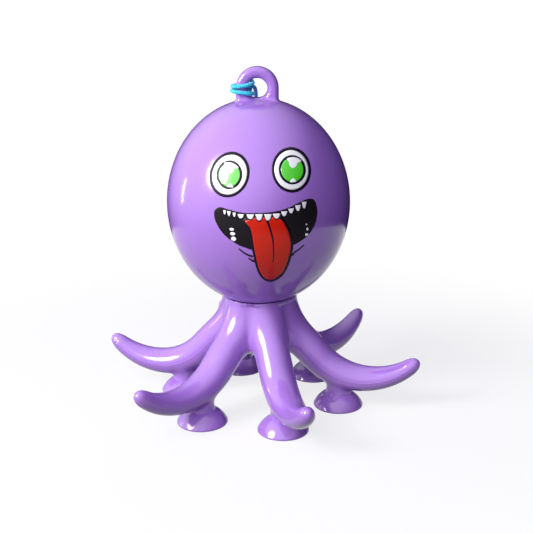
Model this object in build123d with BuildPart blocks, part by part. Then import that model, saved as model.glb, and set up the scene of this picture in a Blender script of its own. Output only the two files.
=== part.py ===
from build123d import *
import os
from math import asin, cos, degrees, pi, radians, sin, sqrt, tan

os.makedirs("parts", exist_ok=True)

# A soft suction-cup octopus, 98 mm tall, that a cord hangs by its crown.
# Frame: millimetres, +Z up. The origin is on the surface that the cups stand on, under the
# middle of the head. The face looks along -Y, and +X is to the right of a person facing it.

# ---------------------------------------------------------------- driving sizes
# Head: a hollow ball, a little taller than it is wide
BALL_R = 26.0  # radius at the equator
BALL_HALF_H = 29.4  # half of the height
HEAD_WALL = 2.0

# Eyelet moulded on the crown
EYELET_HOLE_R = 2.8
EYELET_BAND = 3.1  # from the hole to the outside
EYELET_THICK = 4.2
EYELET_ROUND = 1.3  # rounding of its four long edges

# Neck: a waist that stands in the head's hole, under a cap that keeps the head on
NECK_R = 6.1
NECK_FIT = 0.1  # radial play of the waist in the hole
NECK_CAP_LIP = 2.4  # how far the cap reaches past the waist
NECK_CAP_RIM = 1.0  # height of the cap's straight rim
NECK_CAP_DOME = 1.6
SEAT_GAP = 0.3  # play between the head and what it turns on

# Hub
COLLAR_R = 10.8  # the collar that the ball sits in
NECK_RISE = 10.2  # from the leg roots' hinges up to the bottom of the ball
HUB_DROP = 3.1  # from the leg roots' hinges down to the hub's underside

# Legs: a straight root that falls away from the hub, one bend down to the lowest point of
# the leg, and a second bend the other way that lifts the tip
LEG_COUNT = 6
LEG_PHASE = 15.6  # turn of the first leg from the front (-Y) towards +X, degrees
LEG_PITCH = 45.0  # fall of the root, degrees
ROOT_GAP = 0.75  # half of the room between two neighbouring roots
BEND_R = 19.1
LOW_POINT_R = 31.0  # the leg's lowest point, from the main axis
LOW_POINT_Z = 9.0  # height of its centre line there
TIP_BEND_R = 21.6
TIP_RISE = 41.4  # how far the tip turns up, degrees
LEG_ROOT_HALF_W = 5.0
LEG_ROOT_HALF_T = 4.9
LEG_END_R = 2.25  # the rounded end
WIDTH_TAPER = 3.0  # above 1, the leg keeps its width along the root and loses it near the end
THICKNESS_TAPER = 1.6

# Flex points: a ball in a socket, with room between the two faces for the bend
FLEX_GAP = 0.3  # play of a ball in its socket
ROOT_FACE = 0.6  # from the root hinge to each of the two faces
ROOT_SOCKET_WALL = 0.5  # thinnest wall of the socket in the hub's stub
TIP_FACE = 0.8  # from the tip hinge to each of the two faces
TIP_SOCKET_WALL = 0.7  # thinnest wall of the socket in the leg
STUB_RUN = 7.0  # length of the hub's stub behind each root hinge
STUB_PROUD = 0.2  # the stub is this much thicker than the leg that it carries

# Suction cups
CUP_INSET = 7.3  # from the leg's lowest point back to the cup's axis
CUP_R = 7.25
CUP_RIM = 0.85  # width of the flat ring that touches the surface
CUP_EDGE = 0.5  # height of the rim's outer edge
CUP_DISH = 2.6  # depth of the hollow
CUP_TOP_Z = 4.2  # where the stem begins
STEM_R = 3.5

# Hanging cord
CORD_D = 1.1
KNOT_R = 1.7
KNOT_TAIL = 4.0
TAIL_TURN = 28.0  # lean of the two cut ends from the cord's own line, degrees

# ---------------------------------------------------------------- derived places
# The leg's centre line in its own upright plane, as distance out and height. The root hinge
# is as far out as it must be for two neighbouring roots to stand beside each other.
PITCH = radians(LEG_PITCH)
BEND_START_R = LOW_POINT_R - BEND_R * sin(PITCH)
BEND_START_Z = LOW_POINT_Z + BEND_R * (1 - cos(PITCH))
ROOT_R = (LEG_ROOT_HALF_W + ROOT_GAP) / sin(pi / LEG_COUNT)
ROOT_RUN = (BEND_START_R - ROOT_R) / cos(PITCH)
ROOT_Z = BEND_START_Z + ROOT_RUN * sin(PITCH)
LOW_S = ROOT_RUN + BEND_R * PITCH  # distance along the leg from the root hinge to the tip hinge
LEG_RUN = LOW_S + TIP_BEND_R * radians(TIP_RISE)
CUP_CIRCLE_R = LOW_POINT_R - CUP_INSET

BALL_BOTTOM_Z = ROOT_Z + NECK_RISE  # lowest point of the ball, if it had no neck hole
BALL_Z = BALL_BOTTOM_Z + BALL_HALF_H
BALL_TOP_Z = BALL_Z + BALL_HALF_H
EYELET_Z = BALL_TOP_Z + EYELET_HOLE_R
EYELET_R = EYELET_HOLE_R + EYELET_BAND
NECK_HOLE_R = NECK_R + NECK_FIT
NECK_CAP_R = NECK_R + NECK_CAP_LIP
HUB_BASE_Z = ROOT_Z - HUB_DROP
HUB_BASE_R = ROOT_R - HUB_DROP * tan(PITCH) - (ROOT_FACE + FLEX_GAP) / cos(PITCH)
FACE_DIRECTION = -90.0  # the way that the face looks, degrees from +X


def ball_low_z(radius, grow):
    """Height of the ball's lower surface at a radius, with the ball made larger by grow."""
    return BALL_Z - (BALL_HALF_H + grow) * sqrt(1 - (radius / (BALL_R + grow)) ** 2)


def leg_place(s):
    """Distance out, height and slope in degrees of the leg's centre line at s along it."""
    if s < ROOT_RUN:
        return ROOT_R + s * cos(PITCH), ROOT_Z - s * sin(PITCH), -LEG_PITCH
    bend = BEND_R if s < LOW_S else TIP_BEND_R
    slope = (s - LOW_S) / bend
    return LOW_POINT_R + bend * sin(slope), LOW_POINT_Z + bend * (1 - cos(slope)), degrees(slope)


def leg_half_sizes(s):
    """Half of the leg's width and half of its thickness at s along it."""
    along = max(s, 0.0) / LEG_RUN
    half_w = LEG_END_R + (LEG_ROOT_HALF_W - LEG_END_R) * (1 - along**WIDTH_TAPER)
    half_t = LEG_END_R + (LEG_ROOT_HALF_T - LEG_END_R) * (1 - along**THICKNESS_TAPER)
    return half_w, half_t


def leg_plane(s, azimuth):
    """Plane across the leg at s along it: its x runs across the leg, its z along the leg."""
    out, height, slope = leg_place(s)
    turn = radians(azimuth)
    level = cos(radians(slope))
    along = (level * cos(turn), level * sin(turn), sin(radians(slope)))
    return Plane(
        origin=(out * cos(turn), out * sin(turn), height),
        x_dir=(-sin(turn), cos(turn), 0),
        z_dir=along,
    )


def leg_azimuth(number):
    """Direction of a leg from +X, in degrees."""
    return FACE_DIRECTION + LEG_PHASE + 360.0 / LEG_COUNT * (number - 1)


def dome(radius_a, z_a, radius_b, z_b):
    """Height of the centre, and radius, of the ball on an axis that passes through two rings."""
    centre_z = (radius_a**2 + z_a**2 - radius_b**2 - z_b**2) / (2 * (z_a - z_b))
    return centre_z, sqrt(radius_a**2 + (z_a - centre_z) ** 2)


def spaced(first, last, count):
    """That many values, evenly spaced, with the first and the last given."""
    return [first + (last - first) * i / (count - 1) for i in range(count)]


LEG_NUMBERS = range(1, LEG_COUNT + 1)
ROOT_BALL_R = LEG_ROOT_HALF_T + STUB_PROUD - ROOT_SOCKET_WALL - FLEX_GAP
TIP_BALL_R = leg_half_sizes(LOW_S)[1] - TIP_SOCKET_WALL - FLEX_GAP

# ---------------------------------------------------------------- neck and hub
# The column is turned from one profile: the collar with its dished seat for the ball, the
# waist that stands in the head's hole, and the domed cap. Six stubs leave it, one behind
# each leg, with a round socket in each end.
SEAT_OUT_Z = ball_low_z(COLLAR_R, SEAT_GAP)
CAP_UNDER_Z = ball_low_z(NECK_R, -HEAD_WALL - SEAT_GAP)
CAP_EDGE_Z = ball_low_z(NECK_CAP_R, -HEAD_WALL - SEAT_GAP)
CAP_RIM_Z = CAP_EDGE_Z + NECK_CAP_RIM
CAP_TOP_Z = CAP_RIM_Z + NECK_CAP_DOME
cap_centre_z, cap_dome_r = dome(NECK_CAP_R, CAP_RIM_Z, 0, CAP_TOP_Z)

with BuildPart() as neck_hub:
    with BuildSketch(Plane.XZ):
        with BuildLine():
            Polyline(
                (0, HUB_BASE_Z),
                (HUB_BASE_R, HUB_BASE_Z),
                (COLLAR_R, HUB_BASE_Z + (COLLAR_R - HUB_BASE_R) / tan(PITCH)),
                (COLLAR_R, SEAT_OUT_Z),
                (0, SEAT_OUT_Z),
                close=True,
            )
        make_face()
        with Locations((0, BALL_Z)):
            Ellipse(BALL_R + SEAT_GAP, BALL_HALF_H + SEAT_GAP, mode=Mode.SUBTRACT)
        with Locations((0, HUB_BASE_Z)):
            Rectangle(NECK_R, CAP_UNDER_Z - HUB_BASE_Z, align=(Align.MIN, Align.MIN))
        with BuildLine():
            Polyline(
                (0, CAP_UNDER_Z),
                (NECK_R, CAP_UNDER_Z),
                (NECK_CAP_R, CAP_EDGE_Z),
                (NECK_CAP_R, CAP_TOP_Z),
                (0, CAP_TOP_Z),
                close=True,
            )
        make_face()
        with Locations((0, cap_centre_z)):
            Circle(cap_dome_r, mode=Mode.INTERSECT)
    revolve(axis=Axis.Z)
    for number in LEG_NUMBERS:
        root = leg_plane(0, leg_azimuth(number))
        with BuildSketch(root.offset(-ROOT_FACE)):
            Ellipse(LEG_ROOT_HALF_W + STUB_PROUD, LEG_ROOT_HALF_T + STUB_PROUD)
        extrude(amount=ROOT_FACE - STUB_RUN)
    for number in LEG_NUMBERS:
        with Locations(leg_plane(0, leg_azimuth(number))):
            Sphere(ROOT_BALL_R + FLEX_GAP, mode=Mode.SUBTRACT)
neck_hub.part.label = "neck_hub"
export_step(neck_hub.part, "parts/neck_hub.step")

# ---------------------------------------------------------------- head
# The eyelet is cut from one outline and rounded before it joins the ball. Its foot ends
# inside the ball's wall, and the lowest point of its hole is level with the crown.
EYELET_FOOT_Z = BALL_TOP_Z - 0.8 * HEAD_WALL

with BuildPart() as eyelet:
    with BuildSketch(Plane.XZ):
        with Locations((0, EYELET_Z)):
            Circle(EYELET_R)
        with Locations((0, EYELET_FOOT_Z)):
            Rectangle(2 * EYELET_R, EYELET_Z - EYELET_FOOT_Z, align=(Align.CENTER, Align.MIN))
            Rectangle(2 * EYELET_R, EYELET_R, align=(Align.CENTER, Align.MAX), mode=Mode.SUBTRACT)
        with Locations((0, EYELET_Z)):
            Circle(EYELET_HOLE_R, mode=Mode.SUBTRACT)
    extrude(amount=EYELET_THICK / 2, both=True)
    outline = eyelet.faces().filter_by(Axis.Y).edges()
    above_foot = outline.filter_by(lambda edge: edge.center().Z > EYELET_FOOT_Z + 0.01)
    fillet(above_foot, min(EYELET_ROUND, 0.45 * EYELET_BAND, 0.45 * EYELET_THICK))

with BuildPart() as head_shell:
    with BuildSketch(Plane.XZ):
        with Locations((0, BALL_Z)):
            Ellipse(BALL_R, BALL_HALF_H)
            Ellipse(BALL_R - HEAD_WALL, BALL_HALF_H - HEAD_WALL, mode=Mode.SUBTRACT)
            Rectangle(2 * BALL_R, 3 * BALL_HALF_H, align=(Align.MIN, Align.CENTER), mode=Mode.SUBTRACT)
            Rectangle(NECK_HOLE_R, 2 * BALL_HALF_H, align=(Align.MAX, Align.MAX), mode=Mode.SUBTRACT)
    revolve(axis=Axis.Z)
    add(eyelet.part)
head_shell.part.label = "head_shell"
export_step(head_shell.part, "parts/head_shell.step")

# ---------------------------------------------------------------- legs, cups and tips
CUP_AXIS_S = LOW_S - BEND_R * asin((LOW_POINT_R - CUP_CIRCLE_R) / BEND_R)
STEM_TOP_Z = leg_place(CUP_AXIS_S)[1]
CUP_INNER_R = CUP_R - CUP_RIM
cup_dome_z, cup_dome_r = dome(STEM_R, CUP_TOP_Z, CUP_R, CUP_EDGE)
cup_dish_z, cup_dish_r = dome(CUP_INNER_R, 0, 0, CUP_DISH)

for number in LEG_NUMBERS:
    azimuth = leg_azimuth(number)
    turn = radians(azimuth)
    cup_foot = (CUP_CIRCLE_R * cos(turn), CUP_CIRCLE_R * sin(turn), 0)

    with BuildPart() as leg:
        for s in spaced(ROOT_FACE, LOW_S - TIP_FACE, 6):
            with BuildSketch(leg_plane(s, azimuth)):
                Ellipse(*leg_half_sizes(s))
        loft()
        with Locations(leg_plane(0, azimuth)):
            Sphere(ROOT_BALL_R)
        with BuildSketch(Plane(origin=(cup_foot[0], cup_foot[1], CUP_TOP_Z))):
            Circle(STEM_R)
        extrude(amount=STEM_TOP_Z - CUP_TOP_Z)
        with Locations(leg_plane(LOW_S, azimuth)):
            Sphere(TIP_BALL_R + FLEX_GAP, mode=Mode.SUBTRACT)
    leg.part.label = f"leg_{number}"
    export_step(leg.part, f"parts/leg_{number}.step")

    with BuildPart() as tip:
        for s in spaced(LOW_S + TIP_FACE, LEG_RUN, 4):
            with BuildSketch(leg_plane(s, azimuth)):
                Ellipse(*leg_half_sizes(s))
        loft()
        with Locations(leg_plane(LEG_RUN, azimuth)):
            Sphere(LEG_END_R)
        with Locations(leg_plane(LOW_S, azimuth)):
            Sphere(TIP_BALL_R)
    tip.part.label = f"leg_tip_{number}"
    export_step(tip.part, f"parts/leg_tip_{number}.step")

    with BuildPart() as cup:
        upright = Plane(origin=cup_foot, x_dir=(cos(turn), sin(turn), 0), z_dir=(sin(turn), -cos(turn), 0))
        with BuildSketch(upright):
            with Locations((0, cup_dome_z)):
                Circle(cup_dome_r)
            Rectangle(CUP_R, CUP_TOP_Z, align=(Align.MIN, Align.MIN), mode=Mode.INTERSECT)
            with Locations((0, cup_dish_z)):
                Circle(cup_dish_r, mode=Mode.SUBTRACT)
        revolve(axis=Axis(cup_foot, (0, 0, 1)))
    cup.part.label = f"suction_cup_{number}"
    export_step(cup.part, f"parts/suction_cup_{number}.step")

# ---------------------------------------------------------------- hanging cord
# One closed loop, hitched on the left limb of the eyelet. Two turns cross the front of the
# limb, the bight crosses behind it, and both strands lie down the back of the head and hang
# behind it. The list starts and ends in the middle of the bight.
CORD_ROUTE = [
    (-4.3, 4.2, 92.46),
    (-4.2, 4.25, 93.6),
    (-3.3, 3.95, 94.5),
    (-2.0, 2.9, 94.4),
    (-1.2, 1.0, 93.9),
    (-1.25, -1.2, 93.8),
    (-2.0, -3.0, 93.6),
    (-3.9, -3.3, 93.3),
    (-6.0, -2.8, 93.05),
    (-7.0, -0.6, 93.0),
    (-6.5, 2.0, 92.95),
    (-4.7, 2.9, 92.95),
    (-2.5, 3.1, 92.85),
    (-0.9, 4.9, 92.3),
    (-0.5, 9.0, 90.6),
    (-0.5, 14.6, 87.4),
    (-0.2, 20.2, 81.6),
    (0.1, 24.6, 73.6),
    (0.5, 27.2, 64.6),
    (1.0, 27.9, 53.2),
    (1.2, 27.7, 41.0),
    (1.6, 28.1, 31.0),
    (1.4, 28.3, 24.3),
    (-0.2, 28.4, 20.2),
    (-3.2, 28.5, 19.3),
    (-5.6, 28.4, 22.2),
    (-5.9, 28.2, 27.6),
    (-5.4, 27.9, 35.6),
    (-4.7, 28.0, 46.4),
    (-4.2, 27.6, 58.2),
    (-3.8, 26.5, 68.4),
    (-3.5, 23.0, 77.4),
    (-3.2, 18.0, 84.6),
    (-2.8, 12.2, 89.0),
    (-2.1, 8.6, 90.9),
    (-1.95, 5.6, 91.55),
    (-2.6, 3.5, 91.65),
    (-4.2, 2.85, 91.75),
    (-5.9, 2.7, 91.8),
    (-7.1, 0.9, 91.8),
    (-6.8, -1.5, 91.75),
    (-5.6, -3.0, 91.65),
    (-3.8, -3.3, 91.45),
    (-2.0, -3.0, 91.15),
    (-1.25, -1.2, 90.95),
    (-1.2, 1.0, 90.85),
    (-2.0, 2.9, 90.45),
    (-3.3, 4.0, 90.3),
    (-4.2, 4.25, 91.2),
    (-4.3, 4.2, 92.34),
]
KNOT_RUN = (25, 26)  # the knot sits on the run between these two points


def corner_radii(points):
    """The largest arc that both runs at each corner leave room for."""
    radii = []
    for before, here, after in zip(points, points[1:], points[2:]):
        arrive = Vector(*here) - Vector(*before)
        leave = Vector(*after) - Vector(*here)
        half_turn = radians(arrive.get_angle(leave) / 2)
        radii.append(0.45 * min(arrive.length, leave.length) / tan(half_turn))
    return radii


radii = corner_radii(CORD_ROUTE)
print("cord corner radii:", [round(radius, 2) for radius in radii])

with BuildPart() as hanging_cord:
    with BuildLine() as cord_path:
        FilletPolyline(*CORD_ROUTE, radius=radii)
    with BuildSketch(Plane(origin=cord_path.line @ 0, z_dir=cord_path.line % 0)):
        Circle(CORD_D / 2)
    sweep(path=cord_path.line)
hanging_cord.part.label = "hanging_cord"
export_step(hanging_cord.part, "parts/hanging_cord.step")

cord_length = sum(edge.length for edge in cord_path.edges())
print("cord length", round(cord_length, 2), "volume", round(hanging_cord.part.volume, 3),
      "section x length", round(pi * CORD_D**2 / 4 * cord_length, 3))

# The knot that closes the loop: a round body on the strand, with the two cut ends beside it
knot_from, knot_to = (Vector(*CORD_ROUTE[i]) for i in KNOT_RUN)
knot_line = (knot_to - knot_from).normalized()
knot_plane = Plane(origin=(knot_from + knot_to) * 0.5, x_dir=(1, 0, 0), z_dir=knot_line)

with BuildPart() as cord_knot:
    with Locations(knot_plane):
        Sphere(KNOT_R)
    for side in (-1, 1):
        with BuildSketch(knot_plane.rotated((0, side * TAIL_TURN + 180, 0))):
            Circle(CORD_D / 2)
        extrude(amount=KNOT_R + KNOT_TAIL)
cord_knot.part.label = "cord_knot"
export_step(cord_knot.part, "parts/cord_knot.step")
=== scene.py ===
# %% [markdown]
# # A soft octopus on suction cups
# This toy is a hollow ball of glossy vinyl that turns on a hub with six curled legs. Each leg
# stands on a small suction cup, and a thin cord is hitched on an eyelet on the crown.
# The notebook builds it in the order that a toymaker would: the soft base, the cups, the ball,
# the printed face, and last the finishes and the light. The bare shapes that carry the joints
# are loaded first, and each visible piece is then laid over the one that it stands for.

from math import acos, cos, pi, radians, sin, sqrt, tan

import bpy
import numpy as np
from mathutils import Matrix, Vector


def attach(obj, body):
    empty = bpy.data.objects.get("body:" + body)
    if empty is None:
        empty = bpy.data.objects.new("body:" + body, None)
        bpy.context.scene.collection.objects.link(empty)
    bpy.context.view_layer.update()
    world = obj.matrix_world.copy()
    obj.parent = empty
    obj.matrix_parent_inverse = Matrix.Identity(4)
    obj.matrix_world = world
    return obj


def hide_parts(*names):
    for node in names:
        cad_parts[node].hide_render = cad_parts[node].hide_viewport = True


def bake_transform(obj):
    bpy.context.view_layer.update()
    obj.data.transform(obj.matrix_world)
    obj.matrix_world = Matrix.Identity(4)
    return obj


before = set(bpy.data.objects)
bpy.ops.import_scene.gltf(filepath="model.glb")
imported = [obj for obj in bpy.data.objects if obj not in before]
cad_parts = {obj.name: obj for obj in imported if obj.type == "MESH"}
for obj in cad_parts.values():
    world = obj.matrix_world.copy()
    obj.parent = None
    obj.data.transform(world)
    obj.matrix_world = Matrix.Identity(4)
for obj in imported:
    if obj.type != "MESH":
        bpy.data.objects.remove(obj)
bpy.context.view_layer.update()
MM = 0.001

# %% [markdown]
# ## The camera
# A camera could be pushed about by hand until the view looks right. Here it is placed by
# numbers, so that it can be read back: a point to look at, a distance, a height above the
# horizon and a small roll. A long lens at a short distance keeps the toy's proportions.

# %% Camera
LOOK_AT = np.array([2.1, 0.0, 40.97])
DISTANCE, ELEVATION, ROLL = 290.5, radians(16.75), radians(-0.5)

back = np.array([0.0, -cos(ELEVATION), sin(ELEVATION)])
level = np.array([1.0, 0.0, 0.0])
upward = np.cross(back, level)
camera_x = level * cos(ROLL) + upward * sin(ROLL)
camera_y = -level * sin(ROLL) + upward * cos(ROLL)
camera = bpy.data.objects.new("camera", bpy.data.cameras.new("camera"))
camera.matrix_world = Matrix.Translation(Vector((LOOK_AT + DISTANCE * back) * MM)) @ Matrix(
    np.column_stack([camera_x, camera_y, back])
).to_4x4()
camera.data.lens, camera.data.sensor_width = 67.54, 36.0
camera.data.clip_start, camera.data.clip_end = 0.01, 20.0
bpy.context.scene.collection.objects.link(camera)
bpy.context.scene.camera = camera
print("camera at", [round(x, 4) for x in camera.matrix_world.translation])

# %% [markdown]
# ## The hanging cord
# The cord is one closed loop. It is hitched on the left limb of the eyelet, both strands lie
# down the back of the ball, and a knot closes the loop. It could be a chain of simulated
# links, but a cord at rest is only a line with a thickness, so a curve with a round bevel
# keeps its true length and stays easy to edit. The points are the toy's own, in millimetres.

# %% Cord
CORD_D = 1.1
CORD_ROUTE = np.array([
    (-4.3, 4.2, 92.46), (-4.2, 4.25, 93.6), (-3.3, 3.95, 94.5), (-2.0, 2.9, 94.4),
    (-1.2, 1.0, 93.9), (-1.25, -1.2, 93.8), (-2.0, -3.0, 93.6), (-3.9, -3.3, 93.3),
    (-6.0, -2.8, 93.05), (-7.0, -0.6, 93.0), (-6.5, 2.0, 92.95), (-4.7, 2.9, 92.95),
    (-2.5, 3.1, 92.85), (-0.9, 4.9, 92.3), (-0.5, 9.0, 90.6), (-0.5, 14.6, 87.4),
    (-0.2, 20.2, 81.6), (0.1, 24.6, 73.6), (0.5, 27.2, 64.6), (1.0, 27.9, 53.2),
    (1.2, 27.7, 41.0), (1.6, 28.1, 31.0), (1.4, 28.3, 24.3), (-0.2, 28.4, 20.2),
    (-3.2, 28.5, 19.3), (-5.6, 28.4, 22.2), (-5.9, 28.2, 27.6), (-5.4, 27.9, 35.6),
    (-4.7, 28.0, 46.4), (-4.2, 27.6, 58.2), (-3.8, 26.5, 68.4), (-3.5, 23.0, 77.4),
    (-3.2, 18.0, 84.6), (-2.8, 12.2, 89.0), (-2.1, 8.6, 90.9), (-1.95, 5.6, 91.55),
    (-2.6, 3.5, 91.65), (-4.2, 2.85, 91.75), (-5.9, 2.7, 91.8), (-7.1, 0.9, 91.8),
    (-6.8, -1.5, 91.75), (-5.6, -3.0, 91.65), (-3.8, -3.3, 91.45), (-2.0, -3.0, 91.15),
    (-1.25, -1.2, 90.95), (-1.2, 1.0, 90.85), (-2.0, 2.9, 90.45), (-3.3, 4.0, 90.3),
    (-4.2, 4.25, 91.2), (-4.3, 4.2, 92.34),
])

line = bpy.data.curves.new("hanging_cord_line", "CURVE")
line.dimensions, line.resolution_u = "3D", 8
line.bevel_depth, line.bevel_resolution, line.use_fill_caps = 1.0, 4, True
spline = line.splines.new("NURBS")
spline.points.add(len(CORD_ROUTE) - 1)
spline.points.foreach_set("co", np.c_[CORD_ROUTE * MM, np.ones(len(CORD_ROUTE))].ravel())
spline.points.foreach_set("radius", np.full(len(CORD_ROUTE), CORD_D / 2 * MM))
spline.order_u, spline.use_endpoint_u = 3, True
cord = bpy.data.objects.new("cord_line", line)
bpy.context.scene.collection.objects.link(cord)

# %% [markdown]
# ## Three ways to make a surface
# Nearly every piece below is one of three things. A turned piece is a profile that goes round
# an axis. A tube is a circle that is carried along a path. A skin is the zero level of a
# distance field, which is how soft mouldings are made here, because a field lets one limb
# flow into the next with a fillet. Each is worked out as whole arrays of points.

# %% From arrays to a mesh
def outward(points, faces):
    """Turns every face round if the volume under them is negative. The volume is the sum, over
    all triangles, of the triple product of the corners divided by six."""
    volume = 0.0
    for block in faces:
        for k in range(1, block.shape[1] - 1):
            a, b, c = points[block[:, 0]], points[block[:, k]], points[block[:, k + 1]]
            volume += np.einsum("ij,ij->", a, np.cross(b, c)) / 6
    return faces if volume > 0 else [block[:, ::-1] for block in faces]


def solid(name, points, faces, normals=None):
    """A mesh from points in millimetres and blocks of triangles or quads, with its origin at
    the world's."""
    faces = outward(points, [np.asarray(block) for block in faces if len(block)])
    sides = np.concatenate([np.full(len(block), block.shape[1]) for block in faces])
    mesh = bpy.data.meshes.new(name)
    mesh.vertices.add(len(points))
    mesh.vertices.foreach_set("co", (points * MM).astype(np.float32).ravel())
    mesh.loops.add(int(sides.sum()))
    corners = np.concatenate([block.ravel() for block in faces])
    mesh.loops.foreach_set("vertex_index", corners.astype(np.int32))
    mesh.polygons.add(len(sides))
    mesh.polygons.foreach_set("loop_start", (np.cumsum(sides) - sides).astype(np.int32))
    mesh.polygons.foreach_set("use_smooth", np.ones(len(sides), bool))
    mesh.update(calc_edges=True)
    if normals is not None:
        mesh.normals_split_custom_set_from_vertices(normals.tolist())
    thing = bpy.data.objects.new(name, mesh)
    bpy.context.scene.collection.objects.link(thing)
    print(f"{name}: {len(points)} points, {int((sides - 2).sum())} triangles")
    return thing


# %% Rings, a turned piece and a tube
def closed_rings(rings, start, end):
    """Quads between neighbouring rings, and at each end a fan of triangles to one point."""
    count, around = rings.shape[:2]
    points = np.vstack([rings.reshape(-1, 3), [start, end]])
    grid = np.arange(count * around).reshape(count, around)
    beside = np.roll(grid, -1, 1)
    quads = np.stack([grid[:-1], grid[1:], beside[1:], beside[:-1]], -1).reshape(-1, 4)
    first = np.stack([grid[0], beside[0], np.full(around, len(points) - 2)], -1)
    last = np.stack([beside[-1], grid[-1], np.full(around, len(points) - 1)], -1)
    return points, [quads, first, last]


def turned(profile, around=128):
    """Turns a profile of (radius, height) that starts and ends on the axis.

    At turn t a profile point (r, z) stands at (r cos t, r sin t, z).
    """
    turn = np.linspace(0, 2 * pi, around, endpoint=False)
    r, z = profile[1:-1, 0], profile[1:-1, 1]
    rings = np.stack([
        np.outer(r, np.cos(turn)), np.outer(r, np.sin(turn)), np.outer(z, np.ones(around)),
    ], -1)
    return closed_rings(rings, [0, 0, profile[0, 1]], [0, 0, profile[-1, 1]])


def rounded(corners, radii, steps=7):
    """Walks along straight runs between corners, with an arc of the given radius in each one.

    The arc touches both runs, so it starts radius times the tangent of half the turn away from
    the corner, and its points lie on the circle that is centred on the corner's bisector.
    """
    out = [corners[0]]
    for before, here, after, radius in zip(corners, corners[1:], corners[2:], radii):
        p, q, s = (np.array(c, float) for c in (before, here, after))
        u, v = (p - q) / np.linalg.norm(p - q), (s - q) / np.linalg.norm(s - q)
        half = acos(np.clip(u @ v, -1, 1)) / 2
        reach = radius / tan(half)
        middle = q + (u + v) / np.linalg.norm(u + v) * radius / sin(half)
        a, b = q + u * reach - middle, q + v * reach - middle
        sweep = acos(np.clip(a @ b / radius**2, -1, 1))
        t = np.linspace(0, 1, steps)[:, None]
        out += list(middle + (np.sin((1 - t) * sweep) * a + np.sin(t * sweep) * b) / sin(sweep))
    return np.array(out + [corners[-1]])


def tube(path, radius, around=16):
    """Carries a circle along a path.

    Two directions across the path are carried with it: each is the last one with its part
    along the new tangent taken out, which keeps the circle from twisting.
    """
    tangent = np.gradient(path, axis=0)
    tangent /= np.linalg.norm(tangent, axis=1)[:, None]
    across = [np.cross(tangent[0], [0.3, 0.5, 0.81])]
    for t in tangent[1:]:
        across.append(across[-1] - t * (across[-1] @ t))
    across = np.array(across)
    across /= np.linalg.norm(across, axis=1)[:, None]
    beside = np.cross(tangent, across)
    turn = np.linspace(0, 2 * pi, around, endpoint=False)[None, :, None]
    rings = path[:, None] + radius * (np.cos(turn) * across[:, None] + np.sin(turn) * beside[:, None])
    return closed_rings(rings, path[0], path[-1])


# %% A skin over a distance field
def gradient(field, points, reach=0.02):
    """Slope of a field: the difference of its values on both sides of a point, along each axis."""
    slope = np.empty_like(points)
    for k in range(3):
        step = np.zeros(3)
        step[k] = reach
        slope[:, k] = (field(points + step) - field(points - step)) / (2 * reach)
    return slope


def skin(field, low, high, step):
    """Surface nets: one point in each grid cell that the surface passes through, and one quad
    across each grid edge that it cuts.

    The cell's point starts at the mean of the places where its edges are cut, and is then
    moved along the slope, by value over slope squared, until the field is zero there.
    """
    axes = [np.arange(a, b + step, step) for a, b in zip(low, high)]
    value = np.empty([len(a) for a in axes])
    for i in range(0, len(axes[0]), 12):
        slab = np.stack(np.meshgrid(axes[0][i : i + 12], axes[1], axes[2], indexing="ij"), -1)
        value[i : i + 12] = field(slab.reshape(-1, 3)).reshape(slab.shape[:3])
    inside = value < 0
    corner = np.array([(i, j, k) for i in (0, 1) for j in (0, 1) for k in (0, 1)])
    shape = np.array(value.shape) - 1
    nx, ny, nz = shape
    count = sum(inside[i : nx + i, j : ny + j, k : nz + k].astype(np.int8) for i, j, k in corner)
    cell = np.argwhere((count > 0) & (count < 8))
    number = np.full(shape, -1)
    number[tuple(cell.T)] = np.arange(len(cell))
    total, hits = np.zeros((len(cell), 3)), np.zeros(len(cell))
    for a in corner:
        for k in np.flatnonzero(a == 0):
            b = a + np.eye(3, dtype=int)[k]
            va, vb = value[tuple((cell + a).T)], value[tuple((cell + b).T)]
            cut = (va < 0) != (vb < 0)
            t = np.where(cut, va / np.where(cut, va - vb, 1), 0)
            total += cut[:, None] * (a + t[:, None] * (b - a))
            hits += cut
    points = np.array(low) + (cell + total / hits[:, None]) * step
    for _ in range(3):
        slope = gradient(field, points)
        move = field(points)[:, None] * slope / np.maximum((slope**2).sum(1), 0.05)[:, None]
        points -= np.clip(move, -step / 2, step / 2)
    quads = []
    for k in range(3):
        i, j = (k + 1) % 3, (k + 2) % 3
        u, v = np.eye(3, dtype=int)[i], np.eye(3, dtype=int)[j]
        a = np.take(inside, np.arange(shape[k]), k)
        b = np.take(inside, np.arange(1, shape[k] + 1), k)
        edge = np.argwhere(a != b)
        edge = edge[(edge[:, i] > 0) & (edge[:, j] > 0)]
        edge = edge[(edge[:, i] < shape[i]) & (edge[:, j] < shape[j])]
        ring = np.stack([number[tuple((edge - d).T)] for d in (0 * u, u, u + v, v)], -1)
        leaving = a[tuple(edge.T)]
        quads.append(np.where(leaving[:, None], ring, ring[:, ::-1]))
    normals = gradient(field, points)
    return points, np.vstack(quads), normals / np.linalg.norm(normals, axis=1)[:, None]


def melt(a, b, reach):
    """Union of two fields with a fillet: the smaller value, less the square of (reach minus
    their difference) over four times reach, where they differ by less than reach."""
    return np.minimum(a, b) - np.maximum(reach - np.abs(a - b), 0) ** 2 / (4 * reach)


# %% [markdown]
# ## Sizes that the toy is built on
# The ball, the hub and the legs share a few sizes. They are written once here, and every
# piece below is placed from them, so that a leg can't drift away from its cup. The legs
# follow a line in their own upright plane: a straight root that falls at 45 degrees, one bend
# to the lowest point, and a second bend the other way that lifts the tip. A leg hangs from an
# upright post, and the six posts stand in a ring under the ball.

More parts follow.
